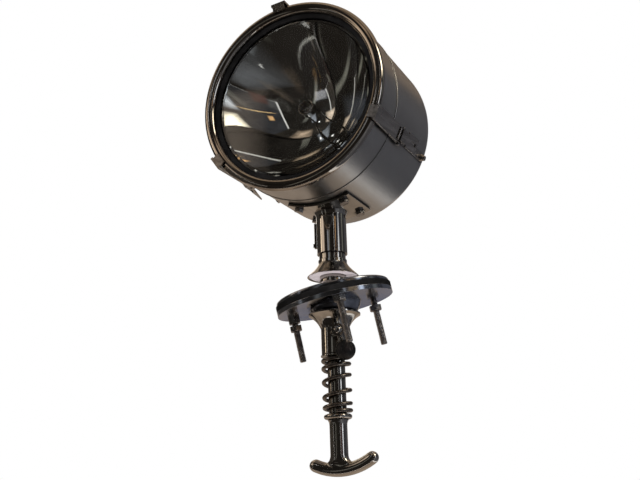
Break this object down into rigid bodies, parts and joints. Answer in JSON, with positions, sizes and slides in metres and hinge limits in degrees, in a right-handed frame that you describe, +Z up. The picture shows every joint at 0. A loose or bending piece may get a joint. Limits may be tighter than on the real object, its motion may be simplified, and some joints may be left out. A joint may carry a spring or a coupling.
{
  "type": "marine searchlight",
  "caption": "Cabin-controlled marine searchlight: a latched lamp drum on a stem through a ball mount in a deck flange, with a spring and a cross handle below.",
  "frame": {"origin": "on the deck, at the middle of the stud circle, on the underside of the deck gasket", "axes": "+Z up out of the deck, -Y the way the lamp faces before it is leaned or turned"},
  "size_m": [0.2285, 0.1956, 0.5385],
  "materials": {
    "flange_steel": "ground plate",
    "rubber": "black sheet rubber",
    "fastener_steel": "plain turned steel",
    "liner_plastic": "dark moulded liner",
    "stem_chrome": "polished",
    "knob_plastic": "black moulded knob",
    "spring_steel": "drawn wire",
    "drum_steel": "polished sheet",
    "bezel_chrome": "polished ring",
    "lamp_glass": "clear front glass",
    "lamp_silver": "silvered bowl",
    "retainer_steel": "pressed sheet",
    "lamp_metal": "drawn wire and pressed cap",
    "lamp_cement": "ceramic base",
    "terminal_brass": "screw terminals",
    "latch_steel": "bent sheet"
  },
  "bodies": {
    "base": {"deck_flange": "flange_steel", "deck_gasket": "rubber", "clamp_flange": "flange_steel", "deck_studs": "fastener_steel", "stud_nuts": "fastener_steel"},
    "liner": {"ball_liner": "liner_plastic"},
    "swivel": {"ball": "stem_chrome", "bell": "stem_chrome"},
    "lock_lever": {"lock_lever": "stem_chrome", "lock_knob": "knob_plastic"},
    "spring_carrier": {"spring_washer": "stem_chrome", "spring": "spring_steel"},
    "stem": {"stem_tube": "stem_chrome", "spindle": "stem_chrome", "rain_skirt": "stem_chrome", "saddle": "stem_chrome", "saddle_bolts": "fastener_steel", "sleeve_strip": "stem_chrome", "rear_housing": "drum_steel", "seam_gasket": "rubber", "front_shell": "drum_steel", "bezel": "bezel_chrome", "lens_gasket": "rubber", "lamp_lens": "lamp_glass", "lamp_mirror": "lamp_silver", "lamp_retainer": "retainer_steel", "filament_posts": "lamp_metal", "filament": "lamp_metal", "filament_shield": "lamp_metal", "lamp_base": "lamp_cement", "lamp_terminals": "terminal_brass", "latch_bases": "latch_steel", "latch_pins": "fastener_steel", "handle_collar": "stem_chrome", "handle": "stem_chrome"},
    "latch_lever_1": {"latch_lever_1": "latch_steel"},
    "latch_link_1": {"latch_link_1": "latch_steel"},
    "latch_lever_2": {"latch_lever_2": "latch_steel"},
    "latch_link_2": {"latch_link_2": "latch_steel"},
    "latch_lever_3": {"latch_lever_3": "latch_steel"},
    "latch_link_3": {"latch_link_3": "latch_steel"}
  },
  "joints": [
    {"name": "tilt_fore_aft", "type": "hinge", "parent": "base", "child": "liner", "pos_m": [0, 0, 0.00325], "axis": [1, 0, 0], "range_deg": [-5, 19]},
    {"name": "tilt_side", "type": "hinge", "parent": "liner", "child": "swivel", "pos_m": [0, 0, 0.00325], "axis": [0, 0.9925, -0.1219], "range_deg": [-21, 3]},
    {"name": "pan", "type": "hinge", "parent": "swivel", "child": "spring_carrier", "pos_m": [0, 0, 0.00325], "axis": [0.1564, 0.1204, 0.9803], "continuous": true},
    {"name": "lift", "type": "slide", "parent": "spring_carrier", "child": "stem", "axis": [0.1564, 0.1204, 0.9803], "range_m": [0, 0.006], "stiffness_N_per_m": 3000, "springref_m": -0.01, "deforming": ["spring"]},
    {"name": "lock", "type": "hinge", "parent": "swivel", "child": "lock_lever", "pos_m": [-0.00673, -0.00518, -0.0389], "axis": [0.4938, -0.8691, 0.0279], "range_deg": [0, 60]},
    {"name": "latch_1", "type": "hinge", "parent": "stem", "child": "latch_lever_1", "pos_m": [0.04204, 0.00251, 0.33547], "axis": [0.9976, -0.0085, -0.0692], "range_deg": [0, 100]},
    {"name": "latch_link_1", "type": "hinge", "parent": "latch_lever_1", "child": "latch_link_1", "pos_m": [0.04197, 0.01032, 0.3335], "axis": [0.9976, -0.0085, -0.0692], "range_deg": [-120, 0]},
    {"name": "latch_2", "type": "hinge", "parent": "stem", "child": "latch_lever_2", "pos_m": [0.13011, -0.0195, 0.15623], "axis": [-0.5592, -0.101, -0.8229], "range_deg": [0, 100]},
    {"name": "latch_link_2", "type": "hinge", "parent": "latch_lever_2", "child": "latch_link_2", "pos_m": [0.12929, -0.01149, 0.15581], "axis": [-0.5592, -0.101, -0.8229], "range_deg": [-120, 0]},
    {"name": "latch_3", "type": "hinge", "parent": "stem", "child": "latch_lever_3", "pos_m": [-0.07031, -0.01779, 0.17014], "axis": [-0.4384, 0.1095, 0.8921], "range_deg": [0, 100]},
    {"name": "latch_link_3", "type": "hinge", "parent": "latch_lever_3", "child": "latch_link_3", "pos_m": [-0.06942, -0.0098, 0.1696], "axis": [-0.4384, 0.1095, 0.8921], "range_deg": [-120, 0]}
  ],
  "couplings": [
    {"joint": "latch_link_1", "follows": "latch_1", "ratio": -1.2},
    {"joint": "latch_link_2", "follows": "latch_2", "ratio": -1.2},
    {"joint": "latch_link_3", "follows": "latch_3", "ratio": -1.2}
  ]
}
